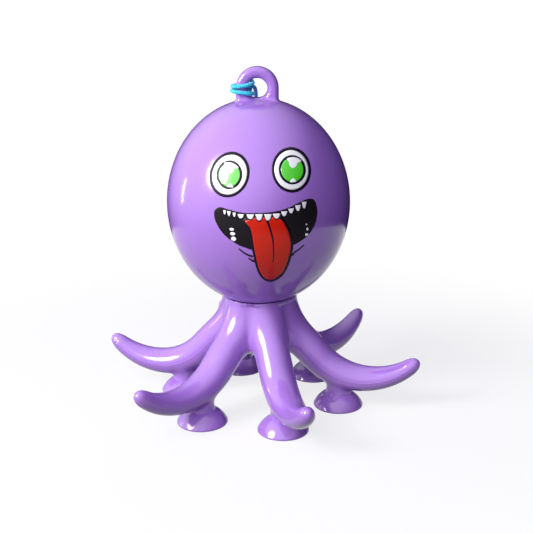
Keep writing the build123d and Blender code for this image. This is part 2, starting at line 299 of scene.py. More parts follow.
# %% Sizes in millimetres
# the ball, its eyelet, and the neck that it turns on
BALL_R, BALL_HALF_H, WALL = 26.0, 29.4, 2.0
EYELET_HOLE_R, EYELET_BAND, EYELET_THICK, EYELET_ROUND = 2.8, 3.1, 4.2, 1.3
NECK_R, NECK_CAP_R, SEAT_GAP = 6.1, 8.5, 0.3

# the leg's line: pitch of the root, radii of the two bends, root, lowest point, rise of the tip
LEGS, PHASE = 6, radians(-90 + 15.6)
PITCH, BEND_R, TIP_BEND_R = radians(45), 19.1, 21.6
ROOT_R, ROOT_Z, ROOT_RUN = 11.5, 20.5885, 8.477
LOW_R, LOW_Z, TIP_RISE = 31.0, 9.0, radians(41.4)
LOW_S = ROOT_RUN + BEND_R * PITCH
LEG_RUN = LOW_S + TIP_BEND_R * TIP_RISE

# the leg's section: half width and half thickness at the root, and how they taper
ROOT_HALF_W, ROOT_HALF_T, ROOT_BACK, END_R = 5.0, 4.9, 7.0, 2.25
WIDTH_TAPER, THICKNESS_TAPER, POINT = 3.0, 1.6, 1.1

# the cup and the stem that stands on it
CUP_CIRCLE_R, CUP_R, CUP_RIM, CUP_EDGE, CUP_DISH = 23.7, 7.25, 0.85, 0.5, 2.6
STEM_R, STEM_LOW_Z, STEM_HIGH_Z, SWELL, SWELL_TALL = 3.5, 3.6, 9.5, 0.35, 1.1

# the posts, the ring round them, and how far each join melts
POST_R, COLLAR_R, COLLAR_INSET, COLLAR_LOW_Z, CONE_SHIFT = 5.0, 10.8, 0.5, 32.6, 1.27
POST_OUT, HUB_BASE_Z = COLLAR_R - POST_R, ROOT_Z - 3.1
SHOULDER_FILLET, CREASE_FILLET, STEM_FILLET, COLLAR_FILLET, SEAT_EDGE = 5.0, 1.2, 1.5, 1.0, 0.35

BALL_Z = ROOT_Z + 10.2 + BALL_HALF_H
BALL_TOP_Z = BALL_Z + BALL_HALF_H
EYELET_Z = BALL_TOP_Z + EYELET_HOLE_R
print(f"legs run {LEG_RUN:.2f} mm from hinge to tip, the ball's middle is {BALL_Z:.2f} mm up")


def ball_field(points, grow=0.0):
    """Distance to the ball: with q the length of the point after each axis is divided by the
    half size, it is (q - 1) q over the length of the point divided by the half sizes squared."""
    a, b = BALL_R + grow, BALL_HALF_H + grow
    flat = np.hypot(points[:, 0], points[:, 1])
    up = points[:, 2] - BALL_Z
    q = np.sqrt((flat / a) ** 2 + (up / b) ** 2 + 1e-12)
    return (q - 1) * q / np.sqrt((flat / a**2) ** 2 + (up / b**2) ** 2 + 1e-12)


# %% [markdown]
# ## The soft base
# Hub, legs and stems are one soft moulding on the real toy, with a fillet wherever two limbs
# meet. Tubes joined with booleans would leave hard edges, and a sculpt could not be
# repeated. So the base is a field: six tapering limbs that hang from six posts, six stems and
# a low ring, melted into each other. A broad fillet makes each shoulder, and a narrow one
# leaves the crease between two legs. Only one limb has to be described, because every point
# is first turned back into the sector of the leg that it is nearest to.

# %% The field of one leg
def leg_place(out, up):
    """Where a point lies on a leg: s along its centre line and n above it.

    On the root, s and n are the point's coordinates turned by the pitch. On a bend, s is the
    radius times the angle at the bend's centre, and n the radius less the distance from it.
    """
    s_root = (out - ROOT_R) * cos(PITCH) - (up - ROOT_Z) * sin(PITCH)
    n_root = (out - ROOT_R) * sin(PITCH) + (up - ROOT_Z) * cos(PITCH)
    bend = np.where(out < LOW_R, BEND_R, TIP_BEND_R)
    drop = LOW_Z + bend - up
    s_bend = LOW_S + bend * np.arctan2(out - LOW_R, drop)
    n_bend = bend - np.hypot(out - LOW_R, drop)
    on_root = s_root < ROOT_RUN
    return np.where(on_root, s_root, s_bend), np.where(on_root, n_root, n_bend)


def leg_field(out, side, up):
    """Distance to a tapering limb of oval section, found as for the ball: with q the length of
    (side over half width, height over half thickness, way past an end), (q - 1) q over the
    length of the same with each part divided once more. Each half size is the end's, plus the
    rest times one less a power of the way along. The tip starts to close POINT before its end.
    """
    s, n = leg_place(out, up)
    along = np.clip(s, 0, LEG_RUN) / LEG_RUN
    half_w = END_R + (ROOT_HALF_W - END_R) * (1 - along**WIDTH_TAPER)
    half_t = END_R + (ROOT_HALF_T - END_R) * (1 - along**THICKNESS_TAPER)
    past = np.maximum(s - LEG_RUN + POINT, 0) / (END_R + POINT)
    past = past + np.maximum(-ROOT_BACK - s, 0) / ROOT_HALF_T
    q = np.sqrt((side / half_w) ** 2 + (n / half_t) ** 2 + past**2 + 1e-12)
    slope = np.sqrt((side / half_w**2) ** 2 + (n / half_t**2) ** 2 + (past / END_R) ** 2 + 1e-12)
    return (q - 1) * q / slope


# %% The field of the whole base
def sector(points):
    """Which leg a point is nearest to, how far out and to the side it is in that leg's own
    upright plane, its angle from that leg and its distance from the axis."""
    angle = np.arctan2(points[:, 1], points[:, 0]) - PHASE
    near = np.round(angle / (2 * pi / LEGS))
    turn, far = angle - near * 2 * pi / LEGS, np.hypot(points[:, 0], points[:, 1])
    return near.astype(int) % LEGS, far * np.cos(turn), far * np.sin(turn), turn, far


def shoulder_field(out, side, up):
    """A leg and the upright post that it hangs from, joined with a broad fillet. The post is
    the distance from its axis less its radius, or, where that is more, the depth below the
    hub's base or below a cone that falls inwards at 45 degrees under the leg's root."""
    post = np.hypot(out - POST_OUT, side) - POST_R
    cone = (np.hypot(out, side) - ROOT_R + (ROOT_Z - up) + CONE_SHIFT) * sin(PITCH)
    post = np.maximum(np.maximum(post, HUB_BASE_Z - up), cone)
    return melt(leg_field(out, side, up), post, SHOULDER_FILLET)


def stem_field(out, side, up):
    """The distance from the stem's axis less its radius, less a bell curve of the height that
    swells it over the cup, plus four times the way past either of its ends."""
    swell = SWELL * np.exp(-((up - STEM_LOW_Z) / SWELL_TALL) ** 2)
    ends = np.maximum(STEM_LOW_Z - up, 0) + np.maximum(up - STEM_HIGH_Z, 0)
    return np.hypot(out - CUP_CIRCLE_R, side) - STEM_R - swell + 4 * ends


def base_field(points):
    """The two nearest legs with their posts, the stem, and the low ring that the ball sits in,
    melted together. The ball, grown by half the gap, is then taken away."""
    _, out, side, turn, far = sector(points)
    up = points[:, 2]
    other = turn - np.sign(turn) * 2 * pi / LEGS
    limb = melt(shoulder_field(out, side, up), stem_field(out, side, up), STEM_FILLET)
    next_limb = shoulder_field(far * np.cos(other), far * np.sin(other), up)
    ring = np.maximum(far - COLLAR_R + COLLAR_INSET, COLLAR_LOW_Z - up)
    whole = melt(melt(limb, next_limb, CREASE_FILLET), ring, COLLAR_FILLET)
    return -melt(-whole, ball_field(points) - 0.5 * SEAT_GAP, SEAT_EDGE)


STEP = 0.45
base_points, base_quads, base_normals = skin(base_field, (-50, -50, 2.6), (50, 50, 35.5), STEP)
print("base skin:", len(base_points), "points, field within",
      round(float(np.abs(base_field(base_points)).max()), 4), "mm of zero")

# %% [markdown]
# ### Cutting the skin where the toy bends
# The base bends at the root and at the tip of each leg. The skin is shared out between the
# hub, six legs and six tips. Neighbouring pieces keep the same points and the same normals
# along the cut, so it can't be seen, and each piece is closed inside with a fan of triangles.

# %% Sharing out the skin
ROOT_CUT, TIP_CUT = 1.4, 27.6
FAR_OFF = 9.0  # the value of "parting" off the legs, far enough for the line to fade out
middle = base_points[base_quads].mean(1)
leg_of, out, side, _, _ = sector(middle)
along = (out - ROOT_R) * cos(PITCH) - (middle[:, 2] - ROOT_Z) * sin(PITCH)
part = np.where(along < ROOT_CUT, 0, np.where(out < TIP_CUT, 1 + leg_of, 7 + leg_of))


def piece_of_skin(name, chosen):
    """The chosen quads as a closed solid. An edge that only one of them has is on a cut, and
    all the edges of one cut are joined to the mean of their points. The attribute "parting"
    keeps how far each point is above its leg's middle line."""
    used, local = np.unique(base_quads[chosen], return_inverse=True)
    quads = local.reshape(-1, 4)
    points, normals = base_points[used], base_normals[used]
    edges = np.concatenate([quads[:, [i, (i + 1) % 4]] for i in range(4)])
    key, reverse = edges[:, 0] * len(used) + edges[:, 1], edges[:, 1] * len(used) + edges[:, 0]
    rim = edges[~np.isin(key, reverse)]
    spot = points[rim].mean(1)
    leg, reach = sector(spot)[:2]
    label, fans = leg * 2 + (reach > 20), []
    for one in np.unique(label):
        own = rim[label == one]
        fans.append(np.c_[own[:, ::-1], np.full(len(own), len(points))])
        points = np.vstack([points, points[own.ravel()].mean(0)])
        normals = np.vstack([normals, [[0, 0, 1]]])
    made = solid(name, points, [quads, *fans], normals)
    s, n = leg_place(sector(points)[1], points[:, 2])
    on_leg = (s > 2.5) & (s < LEG_RUN + 1)
    above = np.where(on_leg, n, np.where(n < 0, -FAR_OFF, FAR_OFF))
    made.data.attributes.new("parting", "FLOAT", "POINT").data.foreach_set("value", above.astype(np.float32))
    return made


hub_skin = piece_of_skin("hub_skin", part == 0)
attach(hub_skin, "hub")
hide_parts("neck_hub")
leg_skins, tip_skins = [], []
for n in range(LEGS):
    turn = PHASE + n * 2 * pi / LEGS
    aim = np.array([cos(turn), sin(turn), 0])
    leg = piece_of_skin(f"leg_skin_{n + 1}", part == 1 + n)
    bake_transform(leg)
    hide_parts(f"leg_{n + 1}")
    tip = piece_of_skin(f"tip_skin_{n + 1}", part == 7 + n)
    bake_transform(tip)
    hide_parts(f"leg_tip_{n + 1}")
    leg_skins.append(leg)
    tip_skins.append(tip)

# %% [markdown]
# ## The neck and its cap
# Out of sight, a waist stands in the hole of the ball and a domed cap keeps the ball on. It
# is turned from one profile. Its lower end is sunk in the hub.

# %% Neck
def ball_low(radius, grow):
    """Height of the ball's underside at a radius: its middle, less its half height times the
    square root of one less the square of the radius over the ball's."""
    return BALL_Z - (BALL_HALF_H + grow) * sqrt(1 - (radius / (BALL_R + grow)) ** 2)


CAP_EDGE_TALL, CAP_RISE = 1.0, 1.6
cap_under, cap_edge = ball_low(NECK_R, -WALL - SEAT_GAP), ball_low(NECK_CAP_R, -WALL - SEAT_GAP)
cap_top = cap_edge + CAP_EDGE_TALL + CAP_RISE
dome_r = (NECK_CAP_R**2 + CAP_RISE**2) / (2 * CAP_RISE)
rise = np.linspace(0.985, 0, 24) * NECK_CAP_R
neck_profile = np.vstack([
    rounded([(0, HUB_BASE_Z + 6), (NECK_R, HUB_BASE_Z + 6), (NECK_R, cap_under), (NECK_CAP_R, cap_edge),
             (NECK_CAP_R, cap_edge + CAP_EDGE_TALL), (0.985 * NECK_CAP_R, cap_edge + 1.1)],
            [0.4, 0.25, 0.2, 0.1])[:-1],
    np.c_[rise, cap_top - dome_r + np.sqrt(dome_r**2 - rise**2)],
])
neck = solid("neck_cap", *turned(neck_profile))
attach(neck, "hub")

# %% [markdown]
# ## The suction cups
# A cup is a shallow bell: a domed back, a soft rim and a hollow that a thumb presses flat. It
# could be half a ball, but the real one flares to a thin edge. Two arcs of circles give the
# back and the hollow, and the rim is rounded between them.

# %% Cup
def dome_arc(radius_a, z_a, radius_b, z_b, count):
    """Points of the arc, centred on the axis, that passes through two rings. Its centre is as
    high as makes both rings equally far: a difference of squares over twice the rise."""
    centre = (radius_a**2 + z_a**2 - radius_b**2 - z_b**2) / (2 * (z_a - z_b))
    r = np.linspace(radius_a, radius_b, count)
    return np.c_[r, centre + np.sqrt(radius_a**2 + (z_a - centre) ** 2 - r**2)]


CUP_CROWN_Z = 4.996
cup_inner_r = CUP_R - CUP_RIM
back_arc = dome_arc(0.0, CUP_CROWN_Z, CUP_R, CUP_EDGE, 30)
hollow_arc = dome_arc(cup_inner_r, 0.0, 0.0, CUP_DISH, 22)
cup_profile = np.vstack([
    back_arc[:-1],
    rounded([back_arc[-2], (CUP_R, CUP_EDGE), (CUP_R, 0), (cup_inner_r, 0), hollow_arc[1]],
            [0.25, 0.22, 0.12])[1:-1],
    hollow_arc[1:],
])
cup_shape, cup_faces = turned(cup_profile, 96)
cups = []
for n in range(LEGS):
    turn = PHASE + n * 2 * pi / LEGS
    foot = CUP_CIRCLE_R * np.array([cos(turn), sin(turn), 0])
    cup = solid(f"cup_{n + 1}", cup_shape + foot, cup_faces)
    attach(cup, f"leg_{n + 1}")
    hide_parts(f"suction_cup_{n + 1}")
    cups.append(cup)

# %% [markdown]
# ## The ball and its eyelet
# The ball is a turned shell, a little taller than it is wide, open where the neck goes in.
# The eyelet is a flat rounded band whose foot flows into the crown, so it is a skin over a
# field again: the band melted into the ball, cut off where the fillet has faded out.

# %% Ball
hole_r = NECK_R + 0.1
lean = np.linspace(pi / 2, -acos(hole_r / BALL_R), 150)
lean_in = np.linspace(-acos(hole_r / (BALL_R - WALL)), pi / 2, 60)
ball_profile = np.vstack([
    np.c_[BALL_R * np.cos(lean), BALL_Z + BALL_HALF_H * np.sin(lean)],
    np.c_[(BALL_R - WALL) * np.cos(lean_in), BALL_Z + (BALL_HALF_H - WALL) * np.sin(lean_in)],
])
ball_profile[[0, -1], 0] = 0
ball = solid("head_ball", *turned(ball_profile, 224))
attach(ball, "head")
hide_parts("head_shell")


# %% Eyelet
FOOT_FILLET, EYELET_STEP = 0.9, 0.2


def eyelet_field(points):
    """A band with rounded edges: the distance to its outline, seen from the front, and half the
    thickness beyond the middle plane are joined as the sides of a right triangle."""
    x, y, z = points[:, 0], points[:, 1], points[:, 2]
    ring = np.hypot(x, z - EYELET_Z)
    limb = np.where(z > EYELET_Z, ring, np.abs(x)) - (EYELET_HOLE_R + EYELET_BAND)
    outline = np.maximum(limb, EYELET_HOLE_R - ring) + EYELET_ROUND
    thick = np.abs(y) - EYELET_THICK / 2 + EYELET_ROUND
    return (np.minimum(np.maximum(outline, thick), 0)
            + np.hypot(np.maximum(outline, 0), np.maximum(thick, 0)) - EYELET_ROUND)


def crown_field(points):
    """The band melted into the ball, kept near the band and above the middle of the ball's wall."""
    band, crown = eyelet_field(points), ball_field(points)
    joined = melt(band, crown, FOOT_FILLET)
    return np.maximum(np.maximum(joined, band - 0.85 * FOOT_FILLET), -0.45 * WALL - crown)


points, quads, normals = skin(crown_field, (-8, -4.4, 84), (8, 4.4, 99), EYELET_STEP)
top = ball_field(points) > -0.02
smooth = gradient(lambda p: melt(eyelet_field(p), ball_field(p), FOOT_FILLET), points)
normals[top] = (smooth / np.linalg.norm(smooth, axis=1)[:, None])[top]
eyelet = solid("eyelet", points, [quads], normals)
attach(eyelet, "head")

# %% [markdown]
# ## The printed face
# The face is ink on the ball. A picture could be wrapped round the ball, but its edges would
# blur in a close view. Each patch of ink is instead a very thin solid that lies on the ball,
# one over the other like the passes of a pad printer. A patch is drawn flat, as it is seen
# from straight in front, and carried back onto the ball. The later a pass, the higher it lies.

# %% Laying ink on the ball
PASS = {"line": 0.03, "white": 0.045, "ring": 0.06, "iris": 0.075, "edge": 0.085, "glint": 0.09, "tooth": 0.1}
SUNK, STROKE_SUNK = 0.12, 0.1


def on_ball(flat, height):
    """A point (x, z) of the drawing goes straight back to the ball's front, and out by height
    along the ball's normal."""
    x, z = flat[..., 0], flat[..., 1]
    y = -BALL_R * np.sqrt(1 - (x / BALL_R) ** 2 - (z / BALL_HALF_H) ** 2)
    normal = np.stack([x / BALL_R**2, y / BALL_R**2, z / BALL_HALF_H**2], -1)
    normal /= np.linalg.norm(normal, axis=-1)[..., None]
    return np.stack([x, y, z + BALL_Z], -1) + height * normal


def patch(outline, height, rings=16):
    """Ink inside a closed outline: rings that grow from its middle, then down into the ball
    and back."""
    heart = outline.mean(0)
    grow = np.r_[np.linspace(0, 1, rings + 1)[1:], 1, np.linspace(1, 0, 4)[1:-1]]
    level = np.r_[np.full(rings, height), np.full(3, -SUNK)]
    flat = heart + grow[:, None, None] * (outline - heart)
    shell = on_ball(flat, level[:, None, None])
    return closed_rings(shell, on_ball(heart, height), on_ball(heart, -SUNK))


def stroke(path, widths, height):
    """A pen line: left and right of each point of the path by half its width, with both ends
    closed."""
    path, widths = np.asarray(path, float), np.asarray(widths, float)
    ahead = np.gradient(path, axis=0)
    ahead /= np.linalg.norm(ahead, axis=1)[:, None]
    left = np.c_[-ahead[:, 1], ahead[:, 0]] * widths[:, None] / 2
    rows = [(k, height) for k in (1, 0, -1)] + [(k, -STROKE_SUNK) for k in (-1, 0, 1)]
    ring = np.stack([on_ball(path + k * left, h) for k, h in rows], 1)
    points = ring.reshape(-1, 3)
    grid = np.arange(len(points)).reshape(len(path), 6)
    beside = np.roll(grid, -1, 1)
    quads = np.stack([grid[:-1], grid[1:], beside[1:], beside[:-1]], -1).reshape(-1, 4)
    ends = np.array([grid[0][[0, 1, 4, 5]], grid[0][[1, 2, 3, 4]],
                     grid[-1][[5, 4, 1, 0]], grid[-1][[4, 3, 2, 1]]])
    return points, [quads, ends]


def ink(name, shapes):
    """One printed pass: all its patches and strokes as one piece that rides on the head."""
    points, faces, start = [], {3: [], 4: []}, 0
    for shape_points, shape_faces in shapes:
        for block in outward(shape_points, shape_faces):
            faces[block.shape[1]].append(block + start)
        points.append(shape_points)
        start += len(shape_points)
    printed = solid(name, np.vstack(points), [np.vstack(f) for f in faces.values() if f])
    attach(printed, "head")
    return printed


# %% Curves for drawing
def flowing(points, count, closed=True):
    """A smooth line through points: between two of them it is the cubic whose slopes are half
    the step from the point before to the point after."""
    p = np.asarray(points, float)
    if closed:
        p = np.vstack([p[-1:], p, p[:2]])
    else:
        p = np.vstack([2 * p[0] - p[1], p, 2 * p[-1] - p[-2]])
    spans = len(p) - 3
    t = np.linspace(0, spans, count, endpoint=not closed)
    i = np.minimum(t.astype(int), spans - 1)
    t = (t - i)[:, None]
    a, b, c, d = p[i], p[i + 1], p[i + 2], p[i + 3]
    return b + 0.5 * t * (c - a + t * (2 * a - 5 * b + 4 * c - d + t * (3 * (b - c) + d - a)))


def oval(left, right, top, bottom, shrink=0.0, count=96):
    """An oval by its four far points: the middle, plus a cosine of half the width and a sine
    of half the height, each half less what it shrinks by."""
    left, right, top, bottom = (np.array(v, float) for v in (left, right, top, bottom))
    halves = (right - left) / 2, (top - bottom) / 2
    across, up = (half * (1 - shrink / np.linalg.norm(half)) for half in halves)
    turn = np.linspace(0, 2 * pi, count, endpoint=False)[:, None]
    return (left + right + top + bottom) / 4 + across * np.cos(turn) + up * np.sin(turn)


def grown(outline, by):
    """The outline moved out by a distance, along the line across its own direction."""
    ahead = np.roll(outline, -1, 0) - np.roll(outline, 1, 0)
    ahead /= np.linalg.norm(ahead, axis=1)[:, None]
    area = (outline[:, 0] * np.roll(outline[:, 1], -1) - np.roll(outline[:, 0], -1) * outline[:, 1]).sum()
    return outline + by * np.sign(area) * np.c_[ahead[:, 1], -ahead[:, 0]]


# %% Eyes
EYE_LINE_W, IRIS_LINE_W = 0.72, 0.62
EYES = {
    "left": [((-12.76, 11.96), (-2.2, 12.98), (-6.74, 17.98), (-7.6, 6.84)),
             ((-10.69, 12.27), (-3.9, 12.5), (-7.25, 16.01), (-7.56, 9.0)), (-16.4, -0.97)],
    "right": [((3.64, 14.03), (14.03, 12.64), (9.05, 18.83), (8.71, 7.88)),
              ((5.55, 13.7), (12.66, 13.06), (9.0, 16.98), (8.99, 9.9)), (0.0, 0.0)],
}
GLINT = np.array([(7.75, 16.2), (8.2, 15.3), (8.45, 14.35), (9.31, 13.8), (10.1, 14.2), (10.45, 14.95),
                  (11.5, 15.25), (10.6, 16.05), (9.2, 16.45)])
LOW_GLINT = np.array([(8.4, 10.55), (9.25, 11.35), (10.1, 10.5), (9.25, 10.4)])

eye_lines, eye_whites, iris_rings, irises, glints = [], [], [], [], []
for eye, iris, shift in EYES.values():
    eye_lines.append(patch(oval(*eye), PASS["line"]))
    eye_whites.append(patch(oval(*eye, shrink=EYE_LINE_W), PASS["white"]))
    iris_rings.append(patch(oval(*iris), PASS["ring"]))
    irises.append(patch(oval(*iris, shrink=IRIS_LINE_W), PASS["iris"]))
    glints.append(patch(flowing(GLINT + shift, 72), PASS["glint"], 8))
    glints.append(patch(flowing(LOW_GLINT + shift, 40), PASS["glint"], 5))
eye_line = ink("eye_lines", eye_lines)
eye_white = ink("eye_whites", eye_whites)
iris_ring = ink("iris_rings", iris_rings)
iris = ink("irises", irises)
glint = ink("eye_glints", glints)

# %% Mouth and tongue
MOUTH = [(-11.35, 3.18), (-10.18, 4.16), (-8.91, 4.09), (-6.65, 3.53), (-3.66, 3.08), (-0.68, 2.96),
         (2.54, 3.16), (5.78, 3.54), (8.04, 4.11), (10.32, 4.99), (12.36, 5.68), (13.65, 5.79),
         (14.82, 5.23), (15.51, 3.49), (15.66, 1.68), (15.32, -0.58), (14.54, -2.29), (13.37, -3.82),
         (11.57, -5.15), (9.64, -6.12), (7.6, -6.9), (4.5, -7.6), (1.0, -7.6), (-2.1, -6.94),
         (-3.1, -6.54), (-5.1, -5.78), (-7.34, -4.41), (-9.08, -2.93), (-10.31, -1.33), (-11.16, 0.4),
         (-11.51, 1.9)]
TONGUE = [(-3.83, 0.99), (-2.73, -0.4), (-2.13, -1.95), (-1.8, -4.07), (-1.47, -6.52), (-1.13, -8.48),
          (-0.67, -11.09), (0.05, -13.83), (1.04, -15.78), (2.57, -16.91), (4.12, -16.8), (5.68, -15.8),
          (6.97, -14.02), (7.99, -11.38), (8.62, -8.81), (8.95, -6.58), (8.75, -4.09), (8.25, -2.17),
          (7.5, -0.53), (6.38, 1.3), (4.3, 2.2), (1.3, 2.3), (-1.6, 2.1)]
FURROW = [(2.27, 1.08), (2.87, -0.48), (3.47, -2.59), (3.88, -4.75), (3.98, -7.23), (3.96, -9.22),
          (3.77, -10.96)]

tongue_line = flowing(TONGUE, 160)
furrow_w = np.linspace(0.62, 0.2, 40)
mouth = ink("mouth", [patch(flowing(MOUTH, 220), PASS["line"], 26)])
tongue_edge = ink("tongue_edge", [patch(grown(tongue_line, 0.26), PASS["white"], 20)])
tongue = ink("tongue", [patch(grown(tongue_line, -0.4), PASS["ring"], 20)])
furrow = ink("tongue_furrow", [stroke(flowing(FURROW, 40, False), furrow_w, PASS["iris"])])

# %% Teeth and the small lines
TOOTH_X = [-8.67, -7.54, -6.16, -4.47, -1.98, 0.31, 2.59, 4.85, 6.83, 8.62, 10.44, 12.1]
TOOTH_TOP = [3.53, 3.36, 3.05, 2.74, 2.71, 2.77, 2.71, 2.78, 3.22, 3.81, 4.49, 5.15]
TOOTH_END = [2.4, 2.1, 1.92, 1.61, 1.45, 1.08, 1.07, 1.47, 1.96, 2.56, 2.99, 3.48]
TOOTH_W = [0.75, 0.95, 0.8, 1.65, 2.0, 1.9, 1.9, 1.9, 1.55, 1.4, 1.4, 1.15]
LOW_TEETH = [(-6.89, -1.45, 1.2, 0.8), (-6.67, -2.68, 1.35, 0.95), (-6.45, -4.08, 1.4, 1.25),
             (12.72, -0.91, 0.4, 0.35), (12.98, -2.27, 0.55, 0.85), (12.8, -3.72, 0.8, 0.75)]
CREASES = [([(-5.13, -6.75), (-4.14, -7.68), (-2.89, -8.5), (-1.5, -9.0)], (0.35, 0.62)),
           ([(-2.66, -9.5), (-1.9, -10.05), (-0.9, -10.55)], (0.4, 0.62)),
           ([(12.09, -6.64), (10.81, -7.69), (9.65, -8.38), (8.8, -9.4)], (0.35, 0.62))]

# A tooth is flat at the gum. Its lower edge is a shield: the height is the power 2.6 of the
# distance from its middle. The dark edge is the same shape, a little larger.
t = np.linspace(-1, 1, 25)
shield = np.vstack([np.c_[t, 2 * np.abs(t) ** 2.6 - 1], np.c_[t[::-1], np.ones(25)][1:-1]])
EDGE_GROWTH = np.array([0.24, 0.32])
white_teeth, tooth_edges = [], []
for x, high, end, width in zip(TOOTH_X, TOOTH_TOP, TOOTH_END, TOOTH_W):
    heart, half = np.array([x, (high + end) / 2]), np.array([width / 2, (high - end) / 2])
    white_teeth.append(patch(heart + shield * half, PASS["tooth"], 5))
    tooth_edges.append(patch(heart + shield * (half + EDGE_GROWTH), PASS["edge"], 5))
for x, z, width, tall in LOW_TEETH:
    w, h = width / 2, tall / 2
    white_teeth.append(patch(oval((x - w, z), (x + w, z), (x, z + h), (x, z - h), 0, 32), PASS["ring"], 4))
teeth = ink("teeth", white_teeth)
tooth_edge = ink("tooth_edges", tooth_edges)
crease = ink("creases", [
    stroke(flowing(path, 24, False), np.linspace(*widths, 24), PASS["line"]) for path, widths in CREASES
])

# %% [markdown]
# ## The knot
# The knot is a short wrapped hitch: the cord goes round its own strand twice and leaves with
# two cut tails. It is one tube on a path that is a helix with a straight run at each end.

# %% Knot
strand_a, strand_b = CORD_ROUTE[25], CORD_ROUTE[26]
knot_at, knot_up = (strand_a + strand_b) / 2, (strand_b - strand_a) / np.linalg.norm(strand_b - strand_a)
knot_x = np.array([1.0, 0, 0]) - knot_up * knot_up[0]
knot_x /= np.linalg.norm(knot_x)
knot_y = np.cross(knot_up, knot_x)


def knot_point(x, y, up):
    """A place near the knot: the knot's middle plus so much along each of its three directions."""
    return knot_at + x * knot_x + y * knot_y + up * knot_up


WRAP_R, WRAP_PITCH, WRAP_TURNS = 1.12, 0.93, 2.25
wrap = np.linspace(0, WRAP_TURNS * 2 * pi, 26)
coil = [knot_point(WRAP_R * cos(a), WRAP_R * sin(a), 1.05 - WRAP_PITCH * a / (2 * pi)) for a in wrap]
knot_path = np.array(
    [knot_point(2.6, -1.6, -4.7), knot_point(2.3, -1.5, -2.6), knot_point(1.8, -1.2, -0.3)] + coil
    + [knot_point(-1.2, 1.5, -2.0), knot_point(-2.0, 1.6, -3.4), knot_point(-2.7, 1.5, -4.9)]
)
knot = solid("cord_wrap", *tube(flowing(knot_path, 260, False), CORD_D / 2))
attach(knot, "head")
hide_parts("cord_knot")
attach(cord, "head")
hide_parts("hanging_cord")

# %% [markdown]
# ## Finishes
# The toy is soft vinyl: a strong violet with a wet gloss. One flat colour with one roughness
# would look like paint, so the gloss has two layers, a soft one under a sharp clear one, and a
# very faint unevenness that real mouldings have. The white and green inks lie under a clear
# coat that whitens where a lamp is mirrored. The black, red and mouth inks shine less.

# %% Vinyl, ink and cord
def material(name, colour, **sockets):
    """A Principled surface with its numbers set straight on the shader's own sockets."""
    made = bpy.data.materials.new(name)
    made.use_nodes = True
    shader = made.node_tree.nodes["Principled BSDF"]
    shader.inputs["Base Color"].default_value = (*colour, 1)
    for socket, value in sockets.items():
        shader.inputs[socket.replace("_", " ")].default_value = value
    made.diffuse_color = (*colour, 1)
    return made, shader


def add(tree, kind, operation=None, **values):
    """Adds a node, sets its operation and its inputs by name or number, and returns it."""
    made = tree.nodes.new(kind)
    if operation:
        made.operation = operation
    for key, value in values.items():
        made.inputs[int(key[1:]) if key[0] == "_" else key.replace("_", " ")].default_value = value
    return made


def wire(tree, *pairs):
    """Joins each pair of an output socket and an input socket."""
    for source, target in pairs:
        tree.links.new(source, target)


VIOLET = (0.365, 0.178, 0.61)


def violet_vinyl(name):
    """Soft violet vinyl: a soft gloss under a thin sharp one, and a little light that goes in
    and comes out again. Slow noise moves the roughness, and noise seven times as fine dents
    the surface."""
    made, shader = material(name, VIOLET, IOR=1.45, Coat_Weight=0.3, Coat_Roughness=0.03, Coat_IOR=1.5,
                            Subsurface_Weight=0.06, Subsurface_Scale=0.002)
    shader.inputs["Subsurface Radius"].default_value = (1.0, 0.5, 1.0)
    tree = made.node_tree
    place = add(tree, "ShaderNodeTexCoord")
    slow = add(tree, "ShaderNodeTexNoise", Scale=90, Detail=3.0)
    fine = add(tree, "ShaderNodeTexNoise", Scale=7 * 90, Detail=2.0)
    spread = add(tree, "ShaderNodeMapRange", To_Min=0.14, To_Max=0.2)
    dent = add(tree, "ShaderNodeBump", Strength=0.06, Distance=0.0002)
    wire(tree, (place.outputs["Object"], slow.inputs["Vector"]),
         (place.outputs["Object"], fine.inputs["Vector"]),
         (slow.outputs["Fac"], spread.inputs["Value"]), (spread.outputs["Result"], shader.inputs["Roughness"]),
         (fine.outputs["Fac"], dent.inputs["Height"]), (dent.outputs["Normal"], shader.inputs["Normal"]),
         (dent.outputs["Normal"], shader.inputs["Coat Normal"]))
    return made, dent


head_vinyl = violet_vinyl("head_vinyl")[0]
base_vinyl, base_dent = violet_vinyl("base_vinyl")
COATED = dict(Roughness=0.2, IOR=1.45, Coat_Weight=1.0, Coat_Roughness=0.14, Coat_IOR=1.6)
black_ink = material("black_ink", (0.006, 0.002, 0.012), Roughness=0.3, IOR=1.22)[0]
mouth_ink = material("mouth_ink", (0.01, 0.008, 0.01), Roughness=0.45, IOR=1.18)[0]
white_ink = material("white_ink", (0.92, 0.92, 0.9), **COATED)[0]
green_ink = material("green_ink", (0.05, 0.66, 0.0), **COATED)[0]
red_ink = material("red_ink", (0.62, 0.016, 0.004), Roughness=0.2, IOR=1.33)[0]
cord_fibre, cord_shader = material("cord_fibre", (0.04, 0.6, 0.74), Roughness=0.62, Sheen_Weight=0.4,
                                   Sheen_Roughness=0.4)
cord_shader.inputs["Sheen Tint"].default_value = (0.5, 0.95, 1, 1)

# %% [markdown]
# ### The parting line
# Each leg is moulded in two halves, which leaves a fine raised line along both flanks. It
# could be cut in the mesh, but it is thinner than a mesh cell. The skin carries how far each
# point is above the middle of its leg, and the line is a bell curve of that distance, a half
# to the power of 60 times its square, which a bump raises as a low ridge.

